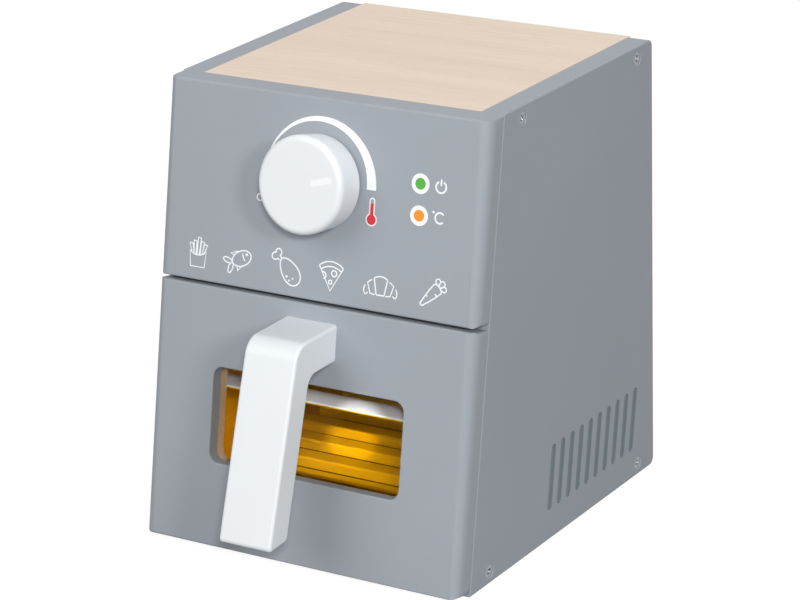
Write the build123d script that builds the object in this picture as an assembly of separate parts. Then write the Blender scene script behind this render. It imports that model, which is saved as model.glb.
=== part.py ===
from build123d import *
import os
from math import atan2, cos, degrees, radians, sin, tan

# Toy air fryer of painted boards, in millimetres.
# +Z is up, the front faces -Y, X runs to the right of someone who looks at the front.
# The origin lies on the floor, in the middle of the housing's footprint.

# Housing
width = 175.0                 # over both side panels
height = 220.0
base_depth = 183.0            # of a side panel along the floor
top_depth = 143.0             # of a side panel along the top
board = 12.0                  # thickness of the main boards
rear_low_round = 4.0          # rear corners of a side panel
rear_high_round = 3.0
arris = 0.7                   # small bevel or rounding of painted edges
back_thickness = 4.0
back_inset = 6.0              # rear panel behind the rear edges of the boards
groove_depth = 5.0            # grooves that hold the rear panel
groove_clearance = 0.1
shelf_underside = 121.5       # ceiling of the drawer's bay
shelf_groove = 4.0            # depth of the stopped grooves that hold the shelf
shelf_groove_stop = 8.0       # from the raked front edge

# Raked front boards
split_above = 5.5             # lower outer edge of the upper front panel above the shelf's underside
split_gap = 1.6               # between the upper front panel and the drawer front
floor_gap = 2.5               # below the drawer front
upright_round = 6.0           # outer upright edges
level_round = 1.3             # outer level edges
upper_corner_high = 2.0       # corners of each board, seen square on
upper_corner_low = 3.5
drawer_corner_high = 2.0
drawer_corner_low = 4.5

# Side vents, milled blind into each side panel
vent_count = 10
vent_pitch = 9.2
vent_width = 3.7
vent_depth = 1.5
vent_flat = 0.29              # corner cut of a vent's end, as a share of its width
vent_low = 15.0
vent_high = 47.0
last_vent_from_rear = 19.7    # upper end of the rearmost vent

# Countersunk screws of the housing, each with its distance from the nearer end of the board
screw_shank = 3.5
screw_head = 6.8
screw_length = 32.0
screw_clearance = 0.1
top_screw_front = 16.5
top_screw_rear = 15.3
low_screw_front = 18.3
low_screw_rear = 17.2

# Loose wooden tongues between the upper front panel and the side panels
tongue_thickness = 5.0
tongue_width = 20.0           # along the slope
tongue_in_front = 8.0         # part of each tongue that sits in the front panel
tongue_in_side = 14.0
tongue_low = 28.0             # middle, above the lower edge of the upper front panel
tongue_high = 72.0
tongue_clearance = 0.1

# Drawer
closed_gap = 0.3              # between the closed drawer front and the side panels
side_clearance = 0.75
bottom_clearance = 0.3
top_clearance = 1.5
drawer_side = 8.0
drawer_rear_space = 5.0       # behind the closed drawer
front_housing = 4.0           # grooves in the drawer front for the drawer's sides
back_housing = 3.0            # grooves in the drawer's sides for its back
back_from_rear = 6.0          # drawer's back before the rear ends of its sides
housing_clearance = 0.1
drawer_floor = 3.0            # thickness of the drawer's bottom
floor_raise = 2.0             # bottom above the lower edge of the drawer's sides
floor_groove = 3.0
floor_clearance = 0.1

# Window in the drawer front and what closes it
window_width = 105.0
window_low = 43.5             # along the slope from the floor
window_high = 89.7
window_corner = 5.0
pane_thickness = 2.0
pane_groove = 3.0             # depth of the grooves in the drawer's sides that hold the pane
pane_clearance = 0.1
pane_margin_low = 7.5         # pane past the window's lower edge
pane_lip = 5.5                # the pane's lip reaches this far over the window's sill
pane_lip_thickness = 1.2
pane_lip_end_space = 1.0
rail_below_window = 11.0      # top of the level rail below the window's upper edge, along the slope
rail_depth = 20.0
rail_thickness = 2.0

# Slatted rack on the drawer's floor
rack_rail_width = 8.0
rack_rail_height = 5.0
slat_count = 7
slat_width = 10.0
slat_thickness = 5.0
slat_bevel = 1.0
first_slat = 12.0             # middle of the first slat behind the drawer front
last_slat = 15.4364           # middle of the last slat before the drawer's back
slat_end_space = 0.5

# Handle: a level arm that bends down into a leaning grip
handle_width = 28.4
arm_low = 101.7
arm_high = 118.1
grip_reach = 42.0             # outer face of the grip at its foot, before the housing's front foot
grip_foot = 30.0              # height of the grip's foot
grip_lean = 19.0              # degrees from upright
grip_thickness = 14.3
foot_slope = 4.0              # degrees, the foot's outer edge lies lower
outer_bend = 14.0
inner_bend = 6.5
foot_round = 2.0
handle_round = 2.0
handle_screw_shank = 4.0
handle_screw_head = 8.0
handle_screw_head_height = 2.6
handle_screw_length = 28.0
handle_screw_spacing = 14.0
handle_screw_drop = 1.2       # below the middle of the arm's foot

# Knob
knob_below_top = 38.7568      # centre, along the slope from the upper edge
knob_base = 44.5              # diameters
knob_wide = 46.0
knob_front = 18.0             # front face before the panel
knob_wide_at = 14.0
knob_round = 3.0
knob_gap = 0.9
felt_diameter = 30.0
felt_gap = 0.25
shaft_diameter = 10.0
shaft_clearance = 0.1         # running fit in the panel
shaft_in_knob = 11.0
shaft_seat_clearance = 0.05
shaft_end_play = 0.3          # behind the panel
pointer_angle = 15.0          # degrees above the level
pointer_inner = 6.5
pointer_outer = 18.0
pointer_width = 3.0
pointer_depth = 0.6
pointer_clearance = 0.05
keeper_diameter = 22.0        # retaining washer
keeper_thickness = 2.0
keeper_screw_shank = 4.0
keeper_screw_head = 8.0
keeper_screw_head_height = 2.6
keeper_screw_length = 16.0

past = 1.0                    # how far a cutting tool runs past the face that it cuts
near = 0.01                   # reach of a search for an edge or a corner at a known place

# Worked out
half_width = width / 2
inner_half = half_width - board
front_y = -base_depth / 2
rear_y = base_depth / 2
rake = atan2(base_depth - top_depth, height)
lean = degrees(rake)
outer_foot_y = front_y - board / cos(rake)
back_front_y = rear_y - back_inset - back_thickness
face_length = height / cos(rake)
split_slope = (shelf_underside + split_above) / cos(rake)
knob_slope = face_length - knob_below_top
drawer_top_slope = split_slope - split_gap
floor_slope = floor_gap / cos(rake)
shelf_top = shelf_underside + board
drawer_half = inner_half - side_clearance
basket_half = drawer_half - drawer_side
drawer_low = board + bottom_clearance
drawer_high = shelf_underside - top_clearance
drawer_rear = back_front_y - groove_clearance - drawer_rear_space
drawer_back_rear = drawer_rear - back_from_rear
drawer_back_front = drawer_back_rear - drawer_side
floor_low = drawer_low + floor_raise
floor_high = floor_low + drawer_floor
slat_low = floor_high + rack_rail_height
slat_high = slat_low + slat_thickness
rail_high = (window_high - rail_below_window) * cos(rake) - board * sin(rake)
rail_low = rail_high - rail_thickness
pane_low = window_low - pane_margin_low
pane_high = (rail_low - pane_clearance + board * sin(rake)) / cos(rake)
pane_back = -board - pane_thickness


def raked_plane(forward):
    # The outer face of the front boards. Local X is X, local Y runs up the slope, local Z points out.
    return Plane(
        origin=(0, outer_foot_y - forward, 0),
        x_dir=(1, 0, 0),
        z_dir=(0, -cos(rake), sin(rake)),
    )


panel_face = raked_plane(0).location
drawer_face = raked_plane(closed_gap).location


def raked_y(z, forward=0.0):
    # Where the inner face of a front board stands at height z.
    return front_y - forward + z * tan(rake)


def yz_slab(points, x_low, x_high):
    # An outline of Y and Z points, stretched along X.
    outline = make_face(Plane.YZ * Polyline(*points, close=True))
    return Pos(x_low, 0, 0) * extrude(outline, amount=x_high - x_low, dir=(1, 0, 0))


def block(low, high):
    # A plain block between two opposite corners.
    size = [b - a for a, b in zip(low, high)]
    return Pos(*low) * Box(*size, align=(Align.MIN, Align.MIN, Align.MIN))


def rod(radius, low, high):
    # A round bar on local Z, from low to high.
    return Pos(0, 0, low) * Cylinder(radius, high - low, align=(Align.CENTER, Align.CENTER, Align.MIN))


def cone(low_radius, high_radius, low, high):
    # A cut-off cone on local Z, from low to high.
    shape = Cone(low_radius, high_radius, high - low, align=(Align.CENTER, Align.CENTER, Align.MIN))
    return Pos(0, 0, low) * shape


def both_sides(shape):
    # The shape and its mirror image in the middle plane of the object.
    return [shape, mirror(shape, about=Plane.YZ)]


def as_group(shapes):
    return Compound(children=list(shapes))


def countersunk_screw(shank, head, length):
    # Head flush with local Z = 0, shank towards -Z.
    cone_height = (head - shank) / 2
    return rod(shank / 2, -length, -cone_height) + cone(shank / 2, head / 2, -cone_height, 0)


def countersunk_hole(shank, head, length):
    # Room for a countersunk screw, wider and deeper by its clearance.
    bore = shank / 2 + screw_clearance
    cone_height = (head - shank) / 2
    hole = rod(bore, -length - screw_clearance, 0)
    return hole + cone(bore, head / 2 + screw_clearance, -cone_height, 0)


def pan_screw(shank, head, head_height, length):
    # Flat-topped head on local Z = 0, pointing up, shank towards -Z.
    return rod(shank / 2, -length, 0) + rod(head / 2, 0, head_height)


def pan_hole(shank, length):
    return rod(shank / 2 + screw_clearance, -length - screw_clearance, 0)


def housing_screw_places():
    # Y and Z of the four screws of a side: two in the top board's end, two in the bottom board's.
    top_z = height - board / 2
    low_z = board / 2
    return [
        (rear_y - top_depth + top_screw_front, top_z),
        (rear_y - top_screw_rear, top_z),
        (front_y + low_screw_front, low_z),
        (rear_y - low_screw_rear, low_z),
    ]


def on_right_side(y, z):
    # Local Z points out of the right side panel.
    return Pos(half_width, y, z) * Rot(0, 90, 0)


def right_screws():
    screw = countersunk_screw(screw_shank, screw_head, screw_length)
    return [on_right_side(y, z) * screw for y, z in housing_screw_places()]


def cut_screw_holes(shape):
    # The holes of the housing screws, on both sides.
    hole = countersunk_hole(screw_shank, screw_head, screw_length)
    for y, z in housing_screw_places():
        for tool in both_sides(on_right_side(y, z) * hole):
            shape -= tool
    return shape


def tongues(extra=0.0):
    # The loose tongues in the joint between the upper front panel and the side panels.
    middle_x = half_width - board / 2
    shapes = []
    for x in (-middle_x, middle_x):
        for up in (tongue_low, tongue_high):
            half_size = (tongue_thickness / 2 + extra, tongue_width / 2 + extra)
            local = block(
                (x - half_size[0], split_slope + up - half_size[1], -board - tongue_in_side - extra),
                (x + half_size[0], split_slope + up + half_size[1], -board + tongue_in_front + extra),
            )
            shapes.append(panel_face * local)
    return shapes


def cut_all(shape, tools):
    for tool in tools:
        shape -= tool
    return shape


def back_groove_tool():
    # The space that the grooves give to the rear panel.
    half = inner_half + groove_depth
    return block(
        (-half, back_front_y - groove_clearance, board - groove_depth),
        (half, rear_y - back_inset + groove_clearance, height - board + groove_depth),
    )


def shelf_tongues(extra=0.0):
    # The parts of the shelf that sit in the side panels, or the grooves for them.
    half = inner_half + shelf_groove - groove_clearance + extra
    front = raked_y(shelf_underside) + shelf_groove_stop - extra
    return block(
        (-half, front, shelf_underside - extra), (half, back_front_y - groove_clearance, shelf_top + extra)
    )


def vent_tool():
    # The slanting vents of the right side panel. Their round ends are cut as flats.
    slot_length = (vent_high - vent_low - vent_width) / cos(rake) + vent_width
    middle_z = (vent_low + vent_high) / 2
    rise = (vent_high - vent_low - vent_width) / 2
    slot = Rectangle(slot_length, vent_width)
    slot = chamfer(slot.vertices(), vent_width * vent_flat)
    outline = Sketch()
    for step in range(vent_count):
        y = rear_y - last_vent_from_rear - step * vent_pitch - rise * tan(rake)
        outline += Pos(y, middle_z) * Rot(0, 0, 90 - lean) * slot
    tool = extrude(Plane.YZ * outline, amount=vent_depth + past, dir=(1, 0, 0))
    return Pos(half_width - vent_depth, 0, 0) * tool


def right_side_panel():
    outline = [(front_y, 0), (rear_y, 0), (rear_y, height), (rear_y - top_depth, height)]
    panel = yz_slab(outline, inner_half, half_width)
    panel = fillet(panel.edges().filter_by(Axis.X).group_by(Axis.Y)[-1].sort_by(Axis.Z)[0], rear_low_round)
    corner = panel.edges().filter_by(Axis.X).filter_by_position(Axis.Z, height - near, height + near)
    panel = fillet(corner.sort_by(Axis.Y)[-1], rear_high_round)
    panel = chamfer(panel.faces().sort_by(Axis.X)[-1].edges(), arris)
    panel -= vent_tool()
    panel -= back_groove_tool()
    panel -= shelf_tongues(groove_clearance)
    return cut_all(cut_screw_holes(panel), tongues(tongue_clearance))


def cross_board(z_low, z_high, rear):
    # A board between the side panels, with its front edge cut to the rake.
    outline = [(raked_y(z_low), z_low), (rear, z_low), (rear, z_high), (raked_y(z_high), z_high)]
    return yz_slab(outline, -inner_half, inner_half)


def top_board():
    return cut_screw_holes(cross_board(height - board, height, rear_y) - back_groove_tool())


def bottom_board():
    return cut_screw_holes(cross_board(0, board, rear_y) - back_groove_tool())


def divider_shelf():
    return cross_board(shelf_underside, shelf_top, back_front_y - groove_clearance) + shelf_tongues()


def rear_panel():
    half = inner_half + groove_depth - groove_clearance
    return block(
        (-half, back_front_y, board - groove_depth + groove_clearance),
        (half, rear_y - back_inset, height - board + groove_depth - groove_clearance),
    )


def raked_board(slope_low, slope_high, corner_low, corner_high, level_top=False):
    # A front board in the local frame of the raked face: three prisms that meet.
    long = face_length + board
    plan = make_face(
        Plane.XZ
        * Polyline(
            (-half_width, -board), (half_width, -board), (half_width, 0), (-half_width, 0), close=True
        )
    )
    plan = fillet(plan.vertices().group_by(Axis.Z)[-1], upright_round)
    plan = fillet(plan.vertices().group_by(Axis.Z)[0], arris)
    upright = extrude(plan, amount=long, dir=(0, 1, 0))

    top_shift = board * tan(rake) if level_top else 0.0
    middle = (slope_low + slope_high + top_shift) / 2
    span = slope_high + top_shift - slope_low
    front = Pos(0, middle) * Rectangle(width, span)
    front = fillet(front.vertices().group_by(Axis.Y)[0], corner_low)
    if not level_top:
        front = fillet(front.vertices().group_by(Axis.Y)[-1], corner_high)
    across = extrude(Pos(0, 0, -board) * front, amount=board, dir=(0, 0, 1))

    side = make_face(
        Plane.YZ
        * Polyline(
            (slope_low, -board),
            (slope_low, 0),
            (slope_high, 0),
            (slope_high + top_shift, -board),
            close=True,
        )
    )
    side = fillet(side.vertices().group_by(Axis.Z)[-1], level_round)
    side = fillet(side.vertices().group_by(Axis.Z)[0].sort_by(Axis.Y)[0], arris)
    along = extrude(Pos(-half_width, 0, 0) * side, amount=width, dir=(1, 0, 0))
    return upright & across & along


def level_cap():
    # All that lies below the level top, with the rounded top corners of the upper front panel.
    outline = Pos(0, height / 2) * Rectangle(width, height)
    outline = fillet(outline.vertices().group_by(Axis.Y)[-1], upper_corner_high)
    return extrude(Plane.XZ * outline, amount=base_depth, both=True)


def upper_front_panel():
    local = raked_board(split_slope, face_length, upper_corner_low, upper_corner_high, level_top=True)
    bore = rod(shaft_diameter / 2 + shaft_clearance, -board - past, past)
    local -= Pos(0, knob_slope, 0) * bore
    panel = (panel_face * local) & level_cap()
    return cut_all(panel, tongues(tongue_clearance))


def handle_screw_places():
    # On the inner face of the drawer front, local Z pointing into the drawer.
    slope = (arm_low + arm_high) / 2 / cos(rake) - handle_screw_drop
    return [
        drawer_face * Pos(side * handle_screw_spacing / 2, slope, -board) * Rot(180, 0, 0)
        for side in (-1, 1)
    ]


def drawer_floor_tool():
    # The space that the grooves give to the drawer's bottom.
    half = basket_half + floor_groove
    return block(
        (-half, raked_y(floor_low, closed_gap) - floor_groove, floor_low - floor_clearance),
        (half, drawer_back_front + floor_groove, floor_high + floor_clearance),
    )


def drawer_side_shape(extra=0.0):
    # A side of the drawer with its front end in the drawer front, or the space that it takes there.
    forward = closed_gap + front_housing / cos(rake) - housing_clearance + extra
    low = drawer_low - extra
    high = drawer_high + extra
    outline = [
        (raked_y(low, forward), low),
        (drawer_rear, low),
        (drawer_rear, high),
        (raked_y(high, forward), high),
    ]
    return yz_slab(outline, basket_half - extra, drawer_half + extra)


def drawer_front():
    local = raked_board(floor_slope, drawer_top_slope, drawer_corner_low, drawer_corner_high)
    middle = (window_low + window_high) / 2
    opening = Pos(0, middle) * RectangleRounded(window_width, window_high - window_low, window_corner)
    local -= extrude(Pos(0, 0, -board - past) * opening, amount=board + 2 * past, dir=(0, 0, 1))
    outer_face = local.faces().sort_by(Axis.Z)[-1]
    local = chamfer(outer_face.inner_wires()[0].edges(), arris)
    front = drawer_face * local
    front -= drawer_floor_tool()
    front = cut_all(front, both_sides(drawer_side_shape(housing_clearance)))
    for place in handle_screw_places():
        front -= place * pan_hole(handle_screw_shank, handle_screw_length)
    return front


def back_slab(extra=0.0):
    # The drawer's back with its ends in the drawer's sides, or the space that it takes there.
    half = basket_half + back_housing - housing_clearance + extra
    return block(
        (-half, drawer_back_front - extra, drawer_low - extra),
        (half, drawer_back_rear + extra, drawer_high + extra),
    )


def pane_slab(extra=0.0):
    # The pane with its side edges in the drawer's sides, or the space that it takes there.
    half = basket_half + pane_groove - pane_clearance + extra
    low = (-half, pane_low - extra, pane_back - extra)
    return drawer_face * block(low, (half, pane_high + extra, -board))


def window_pane():
    # The pane and the lip that it rests by on the window's sill.
    half = window_width / 2 - window_corner - pane_lip_end_space
    lip = block((-half, window_low, -board), (half, window_low + pane_lip_thickness, pane_lip - board))
    lip = fillet(lip.edges().filter_by(Axis.X).group_by(Axis.Z)[-1].sort_by(Axis.Y)[-1], arris)
    return pane_slab() + drawer_face * lip


def drawer_right_side():
    side = drawer_side_shape() - drawer_floor_tool() - back_slab(housing_clearance)
    return side - pane_slab(pane_clearance)


def drawer_back():
    return back_slab() - drawer_floor_tool()


def drawer_bottom():
    half = basket_half + floor_groove - floor_clearance
    front = raked_y(floor_low, closed_gap) - floor_groove + floor_clearance
    rear = drawer_back_front + floor_groove - floor_clearance
    return block((-half, front, floor_low), (half, rear, floor_high))


def pane_rail():
    # A thin level rail over the pane's top edge, from one side of the drawer to the other.
    rear = raked_y(rail_high, closed_gap) + rail_depth
    outline = [
        (raked_y(rail_low, closed_gap), rail_low),
        (rear, rail_low),
        (rear, rail_high),
        (raked_y(rail_high, closed_gap), rail_high),
    ]
    return yz_slab(outline, -basket_half, basket_half)


def slat_middle(step):
    first = raked_y(slat_high, closed_gap) + first_slat
    last = drawer_back_front - last_slat
    return first + step * (last - first) / (slat_count - 1)


def right_rack_rail():
    # It carries the ends of the slats along the drawer's right side.
    low = slat_middle(0) - slat_width / 2
    high = slat_middle(slat_count - 1) + slat_width / 2
    return block((basket_half - rack_rail_width, low, floor_high), (basket_half, high, slat_low))


def rack_slat(step):
    half = basket_half - slat_end_space
    low = slat_middle(step) - slat_width / 2
    slat = block((-half, low, slat_low), (half, low + slat_width, slat_high))
    return chamfer(slat.edges().filter_by(Axis.X).group_by(Axis.Z)[-1], slat_bevel)


def handle():
    # The profile in Y and Z, from the face of the drawer front out and down.
    grip = radians(grip_lean)
    foot_y = front_y - grip_reach - board / cos(rake)
    down = foot_y + (arm_high - grip_foot) * tan(grip)
    inner_shift = grip_thickness / cos(grip)
    inner_high = foot_y + inner_shift + (arm_low - grip_foot) * tan(grip)
    rise = grip_thickness * tan(radians(foot_slope))
    face_high = outer_foot_y - closed_gap + arm_high * tan(rake)
    face_low = outer_foot_y - closed_gap + arm_low * tan(rake)
    inner_foot = foot_y + inner_shift + rise * tan(grip)
    outline = make_face(
        Plane.YZ
        * Polyline(
            (face_high, arm_high),
            (down, arm_high),
            (foot_y, grip_foot),
            (inner_foot, grip_foot + rise),
            (inner_high, arm_low),
            (face_low, arm_low),
            close=True,
        )
    )
    feet = outline.vertices().group_by(Axis.Z)
    outline = fillet(feet[0] + feet[1], foot_round)
    bend = outline.vertices().filter_by_position(Axis.Y, down - near, down + near)
    outline = fillet(bend, outer_bend)
    bend = outline.vertices().filter_by_position(Axis.Y, inner_high - near, inner_high + near)
    outline = fillet(bend, inner_bend)
    bar = Pos(-handle_width / 2, 0, 0) * extrude(outline, amount=handle_width, dir=(1, 0, 0))
    edges = ShapeList()
    for side in bar.faces().filter_by(Axis.X):
        edges += side.edges()
    bar = fillet(edges, handle_round)
    for place in handle_screw_places():
        bar -= place * pan_hole(handle_screw_shank, handle_screw_length)
    return bar


def knob_place(out):
    return panel_face * Pos(0, knob_slope, out)


def pointer_tool(grow, depth):
    # The bar of the pointer on the knob's front, round at its ends.
    length = pointer_outer - pointer_inner + 2 * grow
    outline = SlotOverall(length, pointer_width + 2 * grow)
    outline = Pos((pointer_outer + pointer_inner) / 2, 0) * outline
    bar = extrude(outline, amount=depth, dir=(0, 0, 1))
    return Rot(0, 0, pointer_angle) * Pos(0, 0, knob_front - pointer_depth) * bar


def knob():
    # Its rounded rim is two bevels that follow the arc, with few facets.
    bevel = knob_round * (1 - cos(radians(45)))
    outline = make_face(
        Plane.XZ
        * Polyline(
            (0, knob_gap),
            (knob_base / 2, knob_gap),
            (knob_wide / 2, knob_wide_at),
            (knob_wide / 2, knob_front - knob_round),
            (knob_wide / 2 - bevel, knob_front - bevel),
            (knob_wide / 2 - knob_round, knob_front),
            (0, knob_front),
            close=True,
        )
    )
    body = revolve(outline, axis=Axis.Z)
    body -= pointer_tool(0, pointer_depth + past)
    body -= rod(shaft_diameter / 2 + shaft_seat_clearance, knob_gap - past, knob_gap + shaft_in_knob)
    return knob_place(0) * body


def knob_pointer():
    return knob_place(0) * pointer_tool(-pointer_clearance, pointer_depth)


def knob_felt_washer():
    ring = rod(felt_diameter / 2, felt_gap, knob_gap)
    ring -= rod(shaft_diameter / 2 + shaft_seat_clearance, 0, knob_gap + past)
    return knob_place(0) * ring


def keeper_screw_place():
    # On the inner face of the retaining washer, local Z pointing into the housing.
    return knob_place(-board - shaft_end_play - keeper_thickness) * Rot(180, 0, 0)


def knob_shaft():
    shaft = knob_place(0) * rod(shaft_diameter / 2, -board - shaft_end_play, knob_gap + shaft_in_knob)
    return shaft - keeper_screw_place() * pan_hole(keeper_screw_shank, keeper_screw_length)


def knob_retaining_washer():
    low = -board - shaft_end_play - keeper_thickness
    disc = rod(keeper_diameter / 2, low, low + keeper_thickness)
    return knob_place(0) * disc - keeper_screw_place() * pan_hole(keeper_screw_shank, keeper_screw_length)


def knob_retaining_screw():
    return keeper_screw_place() * pan_screw(
        keeper_screw_shank, keeper_screw_head, keeper_screw_head_height, keeper_screw_length
    )


def all_nodes():
    nodes = {}
    right, left = both_sides(right_side_panel())
    nodes["side_panel_right"] = right
    nodes["side_panel_left"] = left
    nodes["top_board"] = top_board()
    nodes["bottom_board"] = bottom_board()
    nodes["rear_panel"] = rear_panel()
    nodes["upper_front_panel"] = upper_front_panel()
    nodes["divider_shelf"] = divider_shelf()
    nodes["front_panel_tongues"] = as_group(tongues())
    nodes["side_screws_right"] = as_group(right_screws())
    nodes["side_screws_left"] = as_group([mirror(one, about=Plane.YZ) for one in right_screws()])

    nodes["drawer_front"] = drawer_front()
    right, left = both_sides(drawer_right_side())
    nodes["drawer_side_right"] = right
    nodes["drawer_side_left"] = left
    nodes["drawer_back"] = drawer_back()
    nodes["drawer_bottom"] = drawer_bottom()
    nodes["window_pane"] = window_pane()
    nodes["pane_rail"] = pane_rail()
    right, left = both_sides(right_rack_rail())
    nodes["rack_rail_right"] = right
    nodes["rack_rail_left"] = left
    for step in range(slat_count):
        nodes["rack_slat_" + str(step + 1)] = rack_slat(step)
    nodes["handle"] = handle()
    screw = pan_screw(
        handle_screw_shank, handle_screw_head, handle_screw_head_height, handle_screw_length
    )
    nodes["handle_screws"] = as_group([place * screw for place in handle_screw_places()])

    nodes["knob"] = knob()
    nodes["knob_pointer"] = knob_pointer()
    nodes["knob_felt_washer"] = knob_felt_washer()
    nodes["knob_shaft"] = knob_shaft()
    nodes["knob_retaining_washer"] = knob_retaining_washer()
    nodes["knob_retaining_screw"] = knob_retaining_screw()
    return nodes


os.makedirs("parts", exist_ok=True)
for name, shape in all_nodes().items():
    export_step(shape, "parts/" + name + ".step")
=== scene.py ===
import bpy
import bmesh
from math import atan2, cos, pi, radians, sin, tan
from mathutils import Matrix, Vector


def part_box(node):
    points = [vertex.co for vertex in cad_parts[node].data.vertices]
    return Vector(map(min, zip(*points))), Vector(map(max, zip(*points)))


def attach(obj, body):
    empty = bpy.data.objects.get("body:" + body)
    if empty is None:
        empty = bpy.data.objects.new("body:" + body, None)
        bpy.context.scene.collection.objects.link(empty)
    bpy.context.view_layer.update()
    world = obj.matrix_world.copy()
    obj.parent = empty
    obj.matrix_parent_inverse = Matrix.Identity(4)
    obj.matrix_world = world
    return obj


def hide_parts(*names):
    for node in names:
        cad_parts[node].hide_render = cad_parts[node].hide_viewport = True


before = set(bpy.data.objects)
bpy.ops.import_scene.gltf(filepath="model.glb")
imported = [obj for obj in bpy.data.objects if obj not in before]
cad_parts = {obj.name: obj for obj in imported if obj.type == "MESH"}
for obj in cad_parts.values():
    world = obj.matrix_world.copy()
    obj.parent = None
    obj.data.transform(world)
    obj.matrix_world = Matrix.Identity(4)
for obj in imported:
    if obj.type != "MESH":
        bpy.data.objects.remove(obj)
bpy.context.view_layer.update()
bpy.ops.object.select_all(action="DESELECT")
print("frame loaded:", len(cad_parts), "nodes")

# Everything is drawn in millimetres and shrunk to metres when it goes to its place.
mm = 0.001
sideLow, sideHigh = (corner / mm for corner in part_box("side_panel_right"))
topLow, topHigh = (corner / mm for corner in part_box("top_board"))
board = sideHigh.x - sideLow.x
height = sideHigh.z
halfWidth = sideHigh.x
innerHalf = sideLow.x
footY, rearY = sideLow.y, sideHigh.y
rake = atan2(sideHigh.y - sideLow.y - (topHigh.y - topLow.y), height - board)
outerFoot = footY - board / cos(rake)
closedGap = 0.3
world = Matrix.Scale(mm, 4)


def rakedFace(forward=0.0):
    # local X is X, local Y climbs the slope, local Z points out of the raked front
    turn = Matrix(((1, 0, 0), (0, sin(rake), -cos(rake)), (0, cos(rake), sin(rake)))).to_4x4()
    return world @ Matrix.Translation((0, outerFoot - forward, 0)) @ turn


def rakedY(z, forward=0.0):
    # where the inner face of a front board stands at height z
    return footY - forward + z * tan(rake)


# Modelling helpers
def only(piece):
    bpy.ops.object.select_all(action="DESELECT")
    piece.select_set(True)
    bpy.context.view_layer.objects.active = piece


def named(name):
    piece = bpy.context.active_object
    piece.name = piece.data.name = name
    return piece


def settled():
    # the place, turn and scale of the selected pieces go into their corners
    bpy.ops.object.transform_apply(location=True, rotation=True, scale=True)


def shape(name, add, **settings):
    # a new piece from one of Blender's own shapes
    bpy.ops.object.select_all(action="DESELECT")
    add(**settings)
    piece = named(name)
    settled()
    return piece


def block(name, low, high):
    middle = [(a + b) / 2 for a, b in zip(low, high)]
    size = [b - a for a, b in zip(low, high)]
    return shape(name, bpy.ops.mesh.primitive_cube_add, size=1, location=middle, scale=size)


def outline(name, points, fill=True):
    # a circle of as many corners as the outline has, each moved to its point
    bpy.ops.object.select_all(action="DESELECT")
    bpy.ops.mesh.primitive_circle_add(vertices=len(points), fill_type="NGON" if fill else "NOTHING")
    piece = named(name)
    for corner, point in zip(piece.data.vertices, points):
        corner.co = point
    return piece


def edit(piece):
    only(piece)
    bpy.ops.object.mode_set(mode="EDIT")


def done():
    bpy.ops.object.mode_set(mode="OBJECT")


def pick(kind, test):
    # in edit mode: selects corners, edges or faces by their middle and their run or normal
    bpy.ops.mesh.select_mode(type=kind)
    bpy.ops.mesh.select_all(action="DESELECT")
    data = bpy.context.edit_object.data
    mesh = bmesh.from_edit_mesh(data)
    for part in {"VERT": mesh.verts, "EDGE": mesh.edges, "FACE": mesh.faces}[kind]:
        if kind == "VERT":
            chosen = test(part.co, None)
        else:
            middle = sum((corner.co for corner in part.verts), Vector()) / len(part.verts)
            if kind == "EDGE":
                run = (part.verts[1].co - part.verts[0].co).normalized()
            else:
                run = part.normal
            chosen = test(middle, run)
        part.select_set(bool(chosen))
    mesh.select_flush_mode()
    bmesh.update_edit_mesh(data)


def near(a, b, slack=0.01):
    return abs(a - b) < slack


def halfSection(name, points):
    # an outline from axis to axis, open along the axis and left in edit mode
    piece = outline(name, [(x, 0, z) for x, z in points], fill=False)
    edit(piece)
    pick("EDGE", lambda spot, run: near(spot.x, 0))
    bpy.ops.mesh.delete(type="EDGE")
    return piece


def spun(steps):
    bpy.ops.mesh.select_all(action="SELECT")
    bpy.ops.mesh.spin(steps=steps, angle=2 * pi, center=(0, 0, 0), axis=(0, 0, 1))
    done()


def rounded(radius, steps, kind="EDGES"):
    # each rounding in the dictionaries below is a radius and its number of facets
    bpy.ops.mesh.bevel(offset=radius, segments=steps, affect=kind, clamp_overlap=True)


def stretched(x, y, z):
    bpy.ops.mesh.extrude_region_move(TRANSFORM_OT_translate={"value": (x, y, z)})


def boolean(piece, tools, operation="DIFFERENCE"):
    for tool in tools:
        only(piece)
        modifier = piece.modifiers.new("cut", "BOOLEAN")
        modifier.operation = operation
        modifier.solver = "EXACT"
        modifier.object = tool
        bpy.ops.object.modifier_apply(modifier=modifier.name)
        bpy.data.objects.remove(tool)
    return piece


def outwards(piece):
    edit(piece)
    bpy.ops.mesh.select_all(action="SELECT")
    bpy.ops.mesh.remove_doubles(threshold=0.002)
    bpy.ops.mesh.normals_make_consistent(inside=False)
    done()


def place(piece, matrix, body, slotName, material, nodes=(), angle=30):
    # to its place in metres, with soft shading over the rounded edges only
    outwards(piece)
    only(piece)
    piece.matrix_world = matrix @ piece.matrix_world
    settled()
    bpy.ops.object.shade_smooth_by_angle(angle=radians(angle))
    weighted = piece.modifiers.new("even shading", "WEIGHTED_NORMAL")
    weighted.keep_sharp = True
    bpy.ops.object.modifier_apply(modifier=weighted.name)
    piece.data.materials.clear()
    piece.data.materials.append(material)
    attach(piece, body)
    if nodes:
        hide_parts(*nodes)
    bpy.ops.object.select_all(action="DESELECT")
    return piece


def secondFinish(piece, material, matrix, test):
    # another material on the faces that pass the test on their middle and normal, in millimetres
    piece.data.materials.append(material)
    back = matrix.inverted()
    for face in piece.data.polygons:
        if test(back @ face.center, (back.to_3x3() @ face.normal).normalized()):
            face.material_index = 1


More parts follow.
